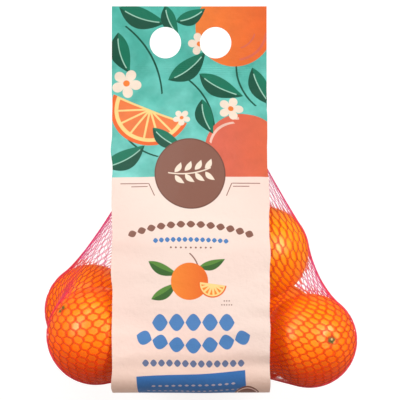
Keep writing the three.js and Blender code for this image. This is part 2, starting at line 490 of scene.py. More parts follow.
def skin_object(name):
    """The net's skin as a mesh that knows the knit's own coordinates, how close the chains lie, how deep
    the peel lies behind it and where it is seen edge-on."""
    rows, columns = SKIN.shape[:2]
    along, across = np.meshgrid(np.linspace(0, 1, rows), np.linspace(0, 1, columns), indexing="ij")
    step = np.linalg.norm(np.roll(SKIN[:, :-1], -1, 1) - SKIN[:, :-1], axis=-1)
    step = np.concatenate([step, step[:, :1]], 1)
    knit = np.stack([across, along, np.zeros_like(along)], -1)
    attributes = {
        "knit": ("FLOAT_VECTOR", knit),
        "spacing": ("FLOAT", step * MM),
        "peel_behind": ("FLOAT", peel_behind(SKIN) * MM),
        "side_edge": ("FLOAT", 1 - smoothstep(abs(skin_facing(SKIN)[..., 2]), *EDGE_ON)),
    }
    return new_object(name, grid_mesh(name, metres(SKIN), attributes))


# ---- The net's strands ----


def flat_chains(tree, given):
    """A block of straight chains. A point's x is its chain's number, its y how far along the chain it is."""
    line = node(tree, "GeometryNodeCurvePrimitiveLine", {"Start": (0, 0, 0), "End": (0, 1, 0)})
    count = given["Stitches"] * given["Points Per Stitch"] + 1
    chain = node(tree, "GeometryNodeResampleCurve", {"Curve": Wire(line.outputs[0]), "Count": count})
    first = vector(tree, given["First Chain"], 0, 0)
    row = {"Count": given["Chains"], "Start Location": first, "Offset": (1, 0, 0)}
    starts = node(tree, "GeometryNodeMeshLine", row, mode="OFFSET")
    copies = {"Points": Wire(starts.outputs[0]), "Instance": Wire(chain.outputs[0])}
    laid = Wire(node(tree, "GeometryNodeInstanceOnPoints", copies).outputs[0])
    return Wire(node(tree, "GeometryNodeRealizeInstances", {"Geometry": laid}).outputs[0])


def swung_sideways(number, stitch, spacing, given):
    """The chain number that each point has come to, as its chain swings to either neighbour in turn."""
    swing = (stitch * math.pi).math("SINE") * given["Swing Sharpness"]
    swing = swing.most(-1.0).least(1.0)
    swing = swing * (1.5 - 0.5 * swing * swing)
    hand = 1.0 - 2.0 * (number % 2.0)
    beside = (given["Strand Width"] * 0.45 / spacing).least(0.5)
    return number + hand * swing * (0.5 - beside)


def strayed(tree, turn, stitch, given):
    """A chain number and a stitch number, each a little off, by noise that closes round the pack."""
    chains_round = given["Chains Round"]
    angle = turn / chains_round * (2 * math.pi)
    girth = chains_round / (2 * math.pi)
    where = vector(tree, angle.math("COSINE") * girth, angle.math("SINE") * girth, stitch)
    grain = {"Vector": where, "Scale": given["Wander Scale"], "Detail": 1.0}
    noise = node(tree, "ShaderNodeTexNoise", grain)
    aside, along, _ = split(Wire(noise.outputs["Color"]))
    return turn + (aside - 0.5) * given["Wander"] * 2.0, stitch + (along - 0.5) * given["Wander"] * 2.0


def oval_tubes(tree, curves, given):
    """Curves as strands with an oval section, flat side to the way that they face."""
    facing = node(tree, "GeometryNodeSetCurveNormal", {"Curve": curves}, mode="FREE")
    feed(facing.inputs["Normal"], named(tree, "face", "FLOAT_VECTOR"))
    ring = node(tree, "GeometryNodeCurvePrimitiveCircle", {"Resolution": STRAND_SIDES, "Radius": 0.5})
    oval = vector(tree, given["Strand Thickness"], given["Strand Width"], 1.0)
    section = node(tree, "GeometryNodeTransform", {"Geometry": Wire(ring.outputs[0]), "Scale": oval})
    tube = {
        "Curve": Wire(facing.outputs[0]),
        "Profile Curve": Wire(section.outputs[0]),
        "Scale": named(tree, "slimness", "FLOAT"),
        "Fill Caps": True,
    }
    return Wire(node(tree, "GeometryNodeCurveToMesh", tube).outputs[0])


def knitted_net_tree():
    """Grows one block of chains on the skin. Each chain swings from one neighbour to the other and back,
    so that two by two they make the knit's brick of rounded holes."""
    sizes = {
        "Skin": ("Geometry", None),
        "First Chain": ("Int", 0),
        "Chains": ("Int", CHAINS // len(NET_PIECES)),
        "Chains Round": ("Int", CHAINS),
        "Stitches": ("Int", STITCHES),
        "Points Per Stitch": ("Int", POINTS_PER_STITCH),
        "Strand Width": ("Float", STRAND_WIDTH * MM),
        "Strand Thickness": ("Float", STRAND_THICKNESS * MM),
        "Strand Depth": ("Float", STRAND_DEPTH * MM),
        "Swing Sharpness": ("Float", 1.6),
        "Wander": ("Float", 0.33),
        "Wander Scale": ("Float", 0.33),
        "Roomy Spacing": ("Float", 3.4),  # in strand widths; where chains lie closer, strands are slimmer
        "Slimmest": ("Float", 0.4),
        "Edge Growth": ("Float", 0.35),
        "Peel Growth": ("Float", 0.3),
        "Material": ("Material", None),
    }
    tree, given, end = new_tree("Knitted net", "GeometryNodeTree", sizes, {"Strands": "Geometry"})
    stitches, chains_round = given["Stitches"], given["Chains Round"]

    def on_skin(kind, value, across, along):
        at = {
            "Mesh": given["Skin"],
            "Value": value,
            "UV Map": named(tree, "knit", "FLOAT_VECTOR"),
            "Sample UV": vector(tree, across, along, 0),
        }
        return Wire(node(tree, "GeometryNodeSampleUVSurface", at, data_type=kind).outputs["Value"])

    number, along, _ = split(place_in(tree))
    spacing = on_skin("FLOAT", named(tree, "spacing", "FLOAT"), number / chains_round, along)
    turn = swung_sideways(number, along * stitches, spacing, given)
    turn, stitch = strayed(tree, turn, along * stitches, given)
    across = (turn / chains_round) % 1.0
    along = (stitch / stitches).clamp()

    face = on_skin("FLOAT_VECTOR", Wire(node(tree, "GeometryNodeInputNormal").outputs[0]), across, along)
    place = on_skin("FLOAT_VECTOR", place_in(tree), across, along)
    sunk = vector_math("SCALE", face, -given["Strand Depth"])
    side_edge = on_skin("FLOAT", named(tree, "side_edge", "FLOAT"), across, along)
    behind = on_skin("FLOAT", named(tree, "peel_behind", "FLOAT"), across, along)
    bare = ((behind - BARE["from"] * MM) / (BARE["blend"] * MM)).clamp()
    growth = side_edge * given["Edge Growth"] + (1.0 - bare) * given["Peel Growth"]
    roomy = given["Strand Width"] * given["Roomy Spacing"]
    slimness = (spacing / roomy).least(1.0).most(given["Slimmest"]) * (1.0 + growth)
    kept = stored(tree, flat_chains(tree, given), "face", "FLOAT_VECTOR", face)
    kept = stored(tree, kept, "slimness", "FLOAT", slimness)
    kept = stored(tree, kept, "side_edge", "FLOAT", side_edge)
    kept = stored(tree, kept, "bare", "FLOAT", bare)
    moved = {"Geometry": kept, "Position": vector_math("ADD", place, sunk)}
    draped = Wire(node(tree, "GeometryNodeSetPosition", moved).outputs[0])
    close(tree, oval_tubes(tree, draped, given), given["Material"], end)
    return tree


def make_net(material):
    """The strands in blocks of chains, each block its own piece."""
    tree = knitted_net_tree()
    block = CHAINS // len(NET_PIECES)
    for i, name in enumerate(NET_PIECES):
        piece = skin_object(name)
        grown(piece, tree, {"First Chain": i * block, "Chains": block, "Material": material})
        piece.visible_shadow = False  # the thin clear strands let the light through to the peel
        finished(piece, "filled_net")


# ---- The oranges ----

PEEL = {
    "Fullness": 0.6 * MM,
    "Flattening": 0.022,  # how much shorter the orange is from stem to navel
    "Unevenness": 1.1 * MM,
    "Lumps": 0.3 * MM,
    "Pore Size": 1.5 * MM,
    "Pore Depth": 0.1 * MM,
    "Dimple Depth": 1.0 * MM,
    "Dimple Width": 5.5 * MM,
    "Navel Depth": 2.2 * MM,
    "Navel Width": 3.4 * MM,
}
FINE_PEEL, PLAIN_PEEL = 7, 6  # how often the ball's faces are split, on oranges that show and on the others
SEED_STEP = 7.3  # how far apart two oranges take their lumps from the same noise
# Painted shade: an orange is painted redder and darker towards the pack's foot, where the lamps light it
# least: from how far past its middle, how fast, and how much at least
FOOT_SHADE = {"past_middle": 0.15, "growth": 1.6, "least": 0.3}
BUTTON_RADIUS, BUTTON_LOBES = 3.1, 5


def bump_at(distance, width):
    """A soft round hump, 1 at its middle."""
    ratio = distance / width
    return (-(ratio * ratio)).math("EXPONENT")


def orange_tree():
    """An orange: a slightly flat ball with a dimple at its stem, a navel opposite, lumps and pores."""
    sizes = {
        "Place": ("Geometry", None),
        "Centre": ("Vector", (0, 0, 0)),
        "Radius": ("Float", 37 * MM),
        "Stem": ("Vector", (0, 0, 1)),
        "Seed": ("Float", 0.0),
        "Ripeness": ("Float", 0.5),
        "Fineness": ("Int", FINE_PEEL),
        "Material": ("Material", None),
    }
    sizes |= {name: ("Float", value) for name, value in PEEL.items()}
    tree, given, end = new_tree("Navel orange", "GeometryNodeTree", sizes, {"Orange": "Geometry"})
    radius = given["Radius"]

    ball = node(tree, "GeometryNodeMeshIcoSphere", {"Radius": 1.0, "Subdivisions": given["Fineness"]})
    way = vector_math("NORMALIZE", place_in(tree))
    stem = vector_math("NORMALIZE", given["Stem"])
    height = vector_math("DOT_PRODUCT", way, stem)
    from_stem = height.most(-1.0).least(1.0).math("ARCCOSINE") * radius
    from_navel = radius * math.pi - from_stem

    def noise(scale, detail):
        moved = vector_math("ADD", way, vector(tree, given["Seed"], given["Seed"], 0))
        made = node(tree, "ShaderNodeTexNoise", {"Vector": moved, "Scale": scale, "Detail": detail})
        return Wire(made.outputs["Fac"])

    cells = {"Vector": way, "Scale": radius / given["Pore Size"], "Randomness": 0.85}
    pore = Wire(node(tree, "ShaderNodeTexVoronoi", cells).outputs["Distance"])
    pore = 1.0 - (pore * 2.2).clamp()
    taken = radius * given["Flattening"] * height * height
    taken = taken + (noise(1.3, 1.0) - 0.2) * given["Unevenness"]
    taken = taken + (noise(6.0, 2.0) - 0.2) * given["Lumps"]
    taken = taken + pore * pore * given["Pore Depth"]
    taken = taken + bump_at(from_stem, given["Dimple Width"]) * given["Dimple Depth"]
    taken = taken + bump_at(from_navel, given["Navel Width"]) * given["Navel Depth"]
    lip = bump_at(from_navel - given["Navel Width"] * 1.7, given["Navel Width"] * 0.6)
    taken = taken - lip * given["Navel Depth"] * 0.2

    surface = vector_math("SCALE", way, radius + given["Fullness"] - taken)
    kept = stored(tree, Wire(ball.outputs["Mesh"]), "from_stem", "FLOAT", from_stem)
    kept = stored(tree, kept, "ripeness", "FLOAT", given["Ripeness"])
    # painted shade: the side of each orange towards the pack's foot is marked to be painted redder and darker
    foot_shade = ((split(way)[1] + FOOT_SHADE["past_middle"]) * -FOOT_SHADE["growth"]).clamp()
    foot_shade = foot_shade * (given["Ripeness"] + FOOT_SHADE["least"])
    kept = stored(tree, kept, "foot_shade", "FLOAT", foot_shade)
    moved = {"Geometry": kept, "Position": vector_math("ADD", surface, given["Centre"])}
    close(tree, Wire(node(tree, "GeometryNodeSetPosition", moved).outputs[0]), given["Material"], end)
    return tree


def stem_button_tree():
    """A five-lobed stem button with its cut stalk, set on every point and turned along its direction."""
    sizes = {
        "Points": ("Geometry", None),
        "Radius": ("Float", BUTTON_RADIUS * MM),
        "Thickness": ("Float", 0.45 * MM),
        "Stalk": ("Float", 0.7 * MM),
        "Material": ("Material", None),
    }
    tree, given, end = new_tree("Stem button", "GeometryNodeTree", sizes, {"Buttons": "Geometry"})
    ball = node(tree, "GeometryNodeMeshUVSphere", {"Segments": 40, "Rings": 20, "Radius": 1.0})
    x, y, z = split(place_in(tree))
    from_axis = hypot(x, y)
    lobes = 1.0 + (y.math("ARCTAN2", x) * BUTTON_LOBES).math("COSINE") * 0.16 * from_axis
    stalk = 1.0 - ((from_axis - 0.3) * 6.0).clamp()
    height = (z + from_axis * from_axis * 0.7) * given["Thickness"] + stalk * z.most(0.0) * given["Stalk"]
    spread = given["Radius"] * lobes
    kept = stored(tree, Wire(ball.outputs["Mesh"]), "from_axis", "FLOAT", from_axis)
    moved = {"Geometry": kept, "Position": vector(tree, x * spread, y * spread, height)}
    button = Wire(node(tree, "GeometryNodeSetPosition", moved).outputs[0])
    stem = {"Vector": named(tree, "stem", "FLOAT_VECTOR")}
    turn = node(tree, "FunctionNodeAlignRotationToVector", stem, axis="Z")
    copies = {"Points": given["Points"], "Instance": button, "Rotation": Wire(turn.outputs[0])}
    close(tree, Wire(node(tree, "GeometryNodeInstanceOnPoints", copies).outputs[0]), given["Material"], end)
    return tree


def make_oranges(peel, button):
    """Each orange as its own piece, and all their stem buttons as one."""
    tree = orange_tree()
    tips, stems = [], []
    for number, (name, (centre, radius, stem)) in enumerate(FRUIT.items()):
        orange = new_object("orange_" + name, bpy.data.meshes.new("orange_" + name))
        fineness = FINE_PEEL if name in SHOWN_FRUIT else PLAIN_PEEL
        values = {"Centre": tuple(metres(centre)), "Radius": radius * MM, "Stem": stem, "Fineness": fineness}
        values |= {"Seed": SEED_STEP * number, "Ripeness": RIPENESS.get(name, 0.5), "Material": peel}
        grown(orange, tree, values)
        finished(orange, "filled_net")
        stem = np.array(stem) / np.linalg.norm(stem)
        seat = radius * (1 - PEEL["Flattening"]) + (PEEL["Fullness"] - PEEL["Dimple Depth"]) / MM
        tips.append(metres(centre + stem * seat))
        stems.append(stem)
    points = bpy.data.meshes.new("stem_buttons")
    points.from_pydata([tuple(tip) for tip in tips], [], [])
    points.attributes.new("stem", "FLOAT_VECTOR", "POINT").data.foreach_set("vector", np.ravel(stems))
    buttons = new_object("stem_buttons", points)
    grown(buttons, stem_button_tree(), {"Material": button})
    finished(buttons, "filled_net")


# ---- The film band ----


def circles_under_band():
    """The circles (y, z, radius) that the filled net shows in a section along the pack, anywhere in the
    band's width."""
    circles = []
    for centre, radius in BALLS:
        beyond = max(0.0, abs(centre[0] - BAND["x"]) - BAND["width"] / 2)
        if beyond < radius + NET_THICKNESS:
            circles.append((centre[1], centre[2], math.sqrt((radius + NET_THICKNESS) ** 2 - beyond**2)))
    return circles


def film_line():
    """The film's middle line and outward normals, every FILM_STEP, as (0, y, z), and its length. It runs from
    the header's edge down the front, round the fold under the fruit and back up behind the header."""
    offset = CLEARANCE + FILM_THICKNESS - FILM_SHEET / 2
    circles = [(y, z, radius + offset) for y, z, radius in circles_under_band()]
    weld = (HEADER["weld_y"], HEADER["z"], LAYER_GAP)
    hull = []
    for angle in np.radians(np.arange(0, 360, 0.5)):
        cos, sin = math.cos(angle), math.sin(angle)
        y, z, radius = max([*circles, weld], key=lambda c: c[0] * cos + c[1] * sin + c[2])
        if (y, z, radius) != weld:
            hull.append((0, y + radius * cos, z + radius * sin))
    front, back = HEADER["z"] + LAYER_GAP, HEADER["z"] - LAYER_GAP
    start = [(0, HEADER["top_y"], front), (0, HEADER["weld_y"], front)]
    finish = [(0, HEADER["weld_y"], back), (0, HEADER["top_y"], back)]
    corners = np.array(start + hull + finish, float)
    length = np.linalg.norm(np.diff(corners, axis=0), axis=1).sum()
    line = at_equal_steps(corners, round(length / FILM_STEP))
    line[1:-1] = blurred(line, 2)[1:-1]
    ways = np.gradient(line, axis=0)
    ways /= np.linalg.norm(ways, axis=1, keepdims=True)
    return line, np.stack([np.zeros(len(line)), ways[:, 2], -ways[:, 1]], 1), length


def blurred(values, reach):
    """Values smoothed along their first axis, over about this many steps each way."""
    steps = np.arange(-3 * reach, 3 * reach + 1)
    weights = np.exp(-((steps / reach) ** 2) / 2)
    weights /= weights.sum()
    first, last = values[:1], values[-1:]
    before = 2 * first - values[1 : 3 * reach + 1][::-1]
    after = 2 * last - values[-3 * reach - 1 : -1][::-1]
    padded = np.concatenate([before, values, after])
    return sum(w * padded[i : i + len(values)] for i, w in enumerate(weights))


def soft_noise(a, b, cell_a, cell_b, seed):
    """Smooth noise from -1 to 1 over two coordinates, with cells of these sizes."""
    dice = np.random.default_rng(seed).uniform(-1, 1, (64, 64))
    a, b = a / cell_a, b / cell_b
    i, j = np.floor(a).astype(int), np.floor(b).astype(int)
    s, t = smoothstep(a - i, 0, 1), smoothstep(b - j, 0, 1)
    near = dice[i % 64, j % 64] * (1 - s) + dice[(i + 1) % 64, j % 64] * s
    far = dice[i % 64, (j + 1) % 64] * (1 - s) + dice[(i + 1) % 64, (j + 1) % 64] * s
    return near * (1 - t) + far * t


def room_inside(points, normals):
    """How far each film point could sink along its normal before it meets the net."""
    tree = BVHTree.FromPolygons(*grid_parts(SKIN))
    far = 60.0
    found = np.full(points.shape[:2], far)
    for index in np.ndindex(found.shape):
        hit = tree.ray_cast(Vector(points[index]), Vector(-normals[index]), far)
        if hit[0] is not None:
            found[index] = hit[3]
    return found


# How deep the front sags into a deep hollow between the oranges, the hollow's depth at which it sags about
# two thirds of that, and the share of the room under it that the film may use up.
SAG = {"most": 3.2, "hollow": 9, "room_used": 0.85}
# depth, slant, cell across, cell along, seed
WRINKLES = (
    (0.34, 0, 34, 9, 1),
    (0.26, 0, 19, 24, 2),
    (0.16, 0.5, 13, 7, 3),
)
BACK_WRINKLES = 0.3  # as a share of the front's, which is 1
# Creases that run in from a side edge: side, distance along the film, depth, half width and reach inwards
CREASES = (
    (1, 262, 1.8, 3.5, 26),
    (1, 299, 1.0, 4.0, 20),
    (-1, 268, 0.9, 6.0, 34),
    (-1, 214, 0.9, 5.0, 30),
    (1, 226, 0.9, 4.0, 22),
)
FOLD_BEFORE_MIDDLE = 30  # the fold under the fruit lies this far before the middle of the film's length
STANDS_OFF = ((-55, 5), (45, 75))  # from the fold: between these the film starts, and stops, standing off
FOLD_BULGE = 1.0  # how far it stands off
FOLD_SQUARENESS, FOLD_RADIUS = 3.4, 39  # its front corner there is a little squarer than round
FRONT_DRIFT = 1.4  # the front lies this far to the right of the header
EDGE_REACH = 7  # how far in from a side edge its curl and ripple fade
EDGE_CURL, EDGE_RIPPLE = 0.7, 0.75  # off the pack, and sideways
HEADER_FLUTTER, HEADER_DENTS = 1.3, 0.16  # its slow bend, and its small dents


def fold_corner(normals):
    """How far the film stands out where its front turns under the fruit."""
    power = FOLD_SQUARENESS
    footward, upward = np.maximum(-normals[..., 1], 0), np.maximum(normals[..., 2], 1e-6)
    squarer = FOLD_RADIUS * ((footward**power + upward**power) ** (-1 / power) - 1)
    return np.where((footward > 0) & (normals[..., 2] > 0), squarer, 0)


def film_dents(u, s, room, upper, near_fold):
    """How deep the film lies below its tight line, by its sag, creases and wrinkles."""
    sag = SAG["most"] * (1 - np.exp(-np.maximum(room, 0) / SAG["hollow"])) * upper * (1 - near_fold)
    for side, place, depth, half, reach in CREASES:
        inwards = BAND["width"] / 2 - side * u
        wave = soft_noise(u, 0 * u, 15, 1, int(place)) * 2.5
        sag = sag + depth * np.exp(-(((s - place - wave) / half) ** 2)) * np.exp(-inwards / reach)
    sag = blurred(np.swapaxes(blurred(sag, 2), 0, 1), 2).swapaxes(0, 1)
    wrinkles = sum(size * soft_noise(u + slant * s, s, *cells) for size, slant, *cells in WRINKLES)
    wrinkles *= 1 - 0.6 * near_fold
    return sag + wrinkles * (BACK_WRINKLES + (1 - BACK_WRINKLES) * upper)


def film_points():
    """The film's middle surface as a grid of points, how far across and along the film each lies, and the
    film's length."""
    line, normal, length = film_line()
    along = np.linspace(0, length, len(line))
    across = np.linspace(-BAND["width"] / 2, BAND["width"] / 2, round(BAND["width"] / FILM_STEP) + 1)
    s, u = np.meshgrid(along, across, indexing="ij")
    points = line[:, None] + np.stack([u + BAND["x"], 0 * u, 0 * u], -1)
    normals = np.broadcast_to(normal[:, None], points.shape)

    from_edge = np.minimum(s, length - s)  # distance from the header's free edge, on either layer
    header = HEADER["top_y"] - HEADER["weld_y"]
    free = smoothstep(from_edge, header + 2, header + 25)
    room = room_inside(points, normals) - FILM_SHEET
    upper = smoothstep(normals[..., 2], -0.6, 0.3)
    fold = length / 2 - FOLD_BEFORE_MIDDLE
    (starts, full), (fades, ends) = STANDS_OFF
    near_fold = smoothstep(s, fold + starts, fold + full) * (1 - smoothstep(s, fold + fades, fold + ends))
    edge = np.exp(-(BAND["width"] / 2 - np.abs(u)) / EDGE_REACH)
    curl = EDGE_CURL * edge * soft_noise(s, np.sign(u), 17, 1, 4)
    depth = film_dents(u, s, room, upper, near_fold) - curl
    depth = np.minimum(depth, np.maximum(room, 0) * SAG["room_used"]) * free
    depth = depth - FOLD_BULGE * near_fold - fold_corner(normals)
    points = points - normals * depth[..., None]

    flutter = 1 - smoothstep(from_edge, 0, header)
    points[..., 2] += flutter * HEADER_FLUTTER * soft_noise(u + 40, from_edge, 58, 48, 5)
    points[..., 2] += (1 - free) * HEADER_DENTS * soft_noise(u, from_edge, 16, 12, 6)
    drift = FRONT_DRIFT * smoothstep(s, 90, 190) * (1 - smoothstep(s, fold, fold + 80))
    ripple = EDGE_RIPPLE * edge * soft_noise(s, np.sign(u) + 5, 15, 1, 7) * free
    points[..., 0] += drift + ripple
    points[..., 2] = np.maximum(points[..., 2], FILM_SHEET / 2)
    return points, u, s, length


def make_film_band():
    """The film with its print's own coordinates, its thickness and its finger holes."""
    points, u, s, length = film_points()
    mesh = grid_mesh("film_band", metres(points))
    place = np.stack([u / BAND["width"] + 0.5, 1 - s / length], -1).reshape(-1, 2)
    corner = np.zeros(len(mesh.loops), np.int32)
    mesh.loops.foreach_get("vertex_index", corner)
    mesh.uv_layers.new(name="film").uv.foreach_set("vector", place[corner].astype(np.float32).ravel())
    mesh.materials.append(film_material(length))
    band = new_object("film_band", mesh)
    wall = band.modifiers.new("Wall", "SOLIDIFY")
    wall.thickness, wall.offset = FILM_SHEET * MM, 0
    punch = hole_punch()
    holes = band.modifiers.new("Holes", "BOOLEAN")
    holes.operation, holes.object, holes.solver = "DIFFERENCE", punch, "EXACT"
    depsgraph = bpy.context.evaluated_depsgraph_get()
    cut = bpy.data.meshes.new_from_object(band.evaluated_get(depsgraph), depsgraph=depsgraph)
    band.modifiers.clear()
    band.data = cut
    cut.set_sharp_from_angle(angle=math.radians(50))
    bpy.data.objects.remove(punch)
    finished(band, "label_band")


def hole_punch():
    """Two cylinders where the finger holes go."""
    sides, reach, radius = 96, 6, FINGER_HOLE["radius"]
    mesh = bpy.data.meshes.new("punch")
    places, faces = [], []
    for side in (-1, 1):
        first = len(places)
        x = FINGER_HOLE["x"] + side * FINGER_HOLE["spacing"] / 2
        for z in (HEADER["z"] - reach, HEADER["z"] + reach):
            for angle in np.arange(sides) * 2 * math.pi / sides:
                places.append((x + radius * math.cos(angle), FINGER_HOLE["y"] + radius * math.sin(angle), z))
        faces.append([first + i for i in reversed(range(sides))])
        faces.append([first + sides + i for i in range(sides)])
        for i in range(sides):
            after = (i + 1) % sides
            faces.append([first + i, first + after, first + sides + after, first + sides + i])
    mesh.from_pydata(metres(places).tolist(), [], faces)
    return new_object("punch", mesh)


# ---- Finishes ----

BLACK = (0, 0, 0, 1)


def srgb(red, green, blue):
    """A colour given as it looks on a screen, 0 to 255, as linear light."""
    parts = [c / 255 for c in (red, green, blue)]
    return (*(c / 12.92 if c <= 0.04045 else ((c + 0.055) / 1.055) ** 2.4 for c in parts), 1.0)


def new_material(name, **settings):
    """A material with a Principled surface, and its tree, with these values on the surface's sockets."""
    material = bpy.data.materials.new(name)
    material.use_nodes = True
    surface = material.node_tree.nodes["Principled BSDF"]
    for label, value in settings.items():
        surface.inputs[label.replace("_", " ")].default_value = value
    return material, material.node_tree, surface


def mixed(tree, base, colour, share):
    """A colour painted over a base where share is 1. Either may be a wire or a colour."""
    made = node(tree, "ShaderNodeMix", data_type="RGBA")
    sockets = {socket.identifier: socket for socket in made.inputs}
    feed(sockets["Factor_Float"], share)
    feed(sockets["A_Color"], base)
    feed(sockets["B_Color"], colour)
    return Wire(next(s for s in made.outputs if s.identifier == "Result_Color"))


def object_place(tree):
    return Wire(node(tree, "ShaderNodeTexCoord").outputs["Object"])


def bumped(tree, surface, height, distance, strength=1.0):
    made = node(tree, "ShaderNodeBump", {"Height": height, "Distance": distance, "Strength": strength})
    feed(surface.inputs["Normal"], Wire(made.outputs["Normal"]))


def mottle_group():
    """Uneven tone: noise of a size in metres, spread between two values."""
    sizes = {
        "Vector": ("Vector", None),
        "Size": ("Float", 0.01),
        "Detail": ("Float", 3.0),
        "Low": ("Float", 0.0),
        "High": ("Float", 1.0),
    }
    tree, given, end = new_tree("Mottle", "ShaderNodeTree", sizes, {"Tone": "Float"})
    grain = {"Vector": given["Vector"], "Scale": 1.0 / given["Size"], "Detail": given["Detail"]}
    fac = Wire(node(tree, "ShaderNodeTexNoise", grain).outputs["Fac"])
    share = ((fac - 0.3) * 2.5).clamp()
    feed(end.inputs["Tone"], given["Low"] + share * (given["High"] - given["Low"]))
    return tree


def mottle(tree, place, size, low, high, detail=3.0):
    group = bpy.data.node_groups.get("Mottle") or mottle_group()
    inputs = {"Vector": place, "Size": size, "Low": low, "High": high, "Detail": detail}
    return placed_group(tree, group, inputs)["Tone"]


def attribute(tree, name):
    return Wire(node(tree, "ShaderNodeAttribute", attribute_name=name).outputs["Fac"])


# painted glow: the peel gives off a faint red light of its own, standing in for bounce light between the
# oranges
PEEL_PAINTED_GLOW = 0.085  # the red light that the peels pass to and fro where little other light comes
PORE_SPACING = 1.3 * MM
STEM_HALO = 3 * MM  # round the stem the peel is duller out to here, and fades over as far again
# the first share is for the painted shade towards the pack's foot
FOOT_SHADE_SHARE, PORE_SHARE, HALO_SHARE = 0.78, 0.35, 0.4  # how strongly each of these tones shows


def peel_material():
    """Glossy navel peel: deep orange with yellower patches and darker pores, painted redder and darker
    towards the pack's foot as shade, and duller round the stem."""
    material, tree, surface = new_material(
        "navel_peel",
        Roughness=0.25,
        Coat_Weight=0.2,
        Coat_Roughness=0.2,
        Specular_IOR_Level=0.9,
        Specular_Tint=(1, 0.8, 0.42, 1),
        Emission_Color=(1, 0.08, 0.02, 1),
        Emission_Strength=PEEL_PAINTED_GLOW,
    )
    place = object_place(tree)
    patches = mottle(tree, place, 0.03, 0, 1)
    ripe = mixed(tree, srgb(254, 122, 1), srgb(255, 150, 4), patches)
    pale = mixed(tree, srgb(255, 156, 6), srgb(255, 186, 14), patches)
    colour = mixed(tree, pale, ripe, attribute(tree, "ripeness"))
    colour = mixed(tree, colour, srgb(250, 104, 1), mottle(tree, place, 0.075, 0, 0.45, 1.0))
    # painted shade: redder and darker towards the pack's foot
    colour = mixed(tree, colour, srgb(204, 46, 0), attribute(tree, "foot_shade") * FOOT_SHADE_SHARE)
    cells = node(tree, "ShaderNodeTexVoronoi", {"Vector": place, "Scale": 1 / PORE_SPACING})
    pore = 1.0 - (Wire(cells.outputs["Distance"]) * 2.0).clamp()
    colour = mixed(tree, colour, srgb(214, 82, 4), pore * PORE_SHARE)
    halo = 1.0 - ((attribute(tree, "from_stem") - STEM_HALO) / STEM_HALO).clamp()
    colour = mixed(tree, colour, srgb(206, 150, 24), halo * HALO_SHARE)
    feed(surface.inputs["Base Color"], colour)
    bumped(tree, surface, pore * -1.0 + mottle(tree, place, 0.0007, 0, 0.4), 0.00022, 0.8)
    return material


def stem_material():
    """A drying green stem button with a paler cut stalk."""
    material, tree, surface = new_material("stem_button", Roughness=0.75)
    place = object_place(tree)
    green = mixed(tree, srgb(116, 122, 44), srgb(68, 80, 28), mottle(tree, place, 0.001, 0, 1))
    cut = 1.0 - ((attribute(tree, "from_axis") - 0.26) * 10.0).clamp()
    feed(surface.inputs["Base Color"], mixed(tree, green, srgb(226, 216, 158), cut))
    bumped(tree, surface, mottle(tree, place, 0.0006, 0, 1), 0.0002)
    return material


# painted glow: strands that lie on the peel give off a faint red light of their own
STRAND_PAINTED_GLOW = 0.085  # the peel's light that shines through a strand that lies on it
EDGE_PINK = 0.42  # how much of the net's own pink shows where strands on the peel are seen edge-on
# Where the net gathers towards the foot, its free strands hide more: from here, in mm, and so much per metre
GATHERED = {"from": 122, "growth": 80}
# How solid a strand looks on the peel, and what each of the others adds to that
STRAND_ALPHA = {"on_peel": 0.48, "side_edge": 0.18, "bare": -0.16, "gathered": 0.26}


def strand_material():
    """Thin see-through pink plastic, painted orange where it lies on the peel as the peel's light shining
    through it, with a faint painted glow there.
    """
    material, tree, surface = new_material(
        "net_strand",
        Roughness=0.34,
        Specular_IOR_Level=0.25,
        Specular_Tint=(1, 0.6, 0.5, 1),
        Emission_Strength=STRAND_PAINTED_GLOW,
    )
    place = object_place(tree)
    patches = mottle(tree, place, 0.006, 0, 1)
    pink = mixed(tree, srgb(240, 78, 162), srgb(220, 52, 134), patches)
    # painted light: on the peel the strands take the orange of the light shining through them from the peel
    painted_peel_light = mixed(tree, srgb(226, 56, 4), srgb(210, 40, 2), patches)
    bare, side_edge = attribute(tree, "bare"), attribute(tree, "side_edge")
    own = (bare + side_edge * EDGE_PINK).clamp()
    # painted glow where the strands lie on the peel
    feed(surface.inputs["Emission Color"], mixed(tree, (1, 0.17, 0.02, 1), BLACK, own))
    feed(surface.inputs["Base Color"], mixed(tree, painted_peel_light, pink, own))
    gathered = ((split(place)[1] + GATHERED["from"] * MM) * -GATHERED["growth"]).clamp() * bare
    alpha = side_edge * STRAND_ALPHA["side_edge"] + bare * STRAND_ALPHA["bare"]
    alpha = alpha + gathered * STRAND_ALPHA["gathered"] + STRAND_ALPHA["on_peel"]
    feed(surface.inputs["Alpha"], alpha)
    wave = {"Vector": place, "Scale": 420.0, "Distortion": 3.0}
    loops = node(tree, "ShaderNodeTexWave", wave, bands_direction="Y")
    bumped(tree, surface, Wire(loops.outputs["Fac"]), 0.0001, 0.6)
    return material


def floor_material():
    """Matt white studio paper. What it glows by reaches the camera alone, so it doesn't light the pack."""
    material, tree, surface = new_material("studio_paper", Roughness=0.9, Emission_Color=(1, 1, 1, 1))
    patches = mottle(tree, object_place(tree), 0.2, 0, 1)
    tone = mixed(tree, (0.3, 0.3, 0.3, 1), (0.31, 0.31, 0.31, 1), patches)
    feed(surface.inputs["Base Color"], tone)
    seen = Wire(node(tree, "ShaderNodeLightPath").outputs["Is Camera Ray"])
    feed(surface.inputs["Emission Strength"], seen * FLOOR_GLOW)
    return material


# ---- The film's print, drawn by distance to simple shapes, in millimetres across and down the film ----

PRINT_BLUR = 0.35
PRINT_DEPTH = 0.25  # how much darker the inks are than they look under bright studio light
TEAL_END = 144  # how far down the film its teal head ends
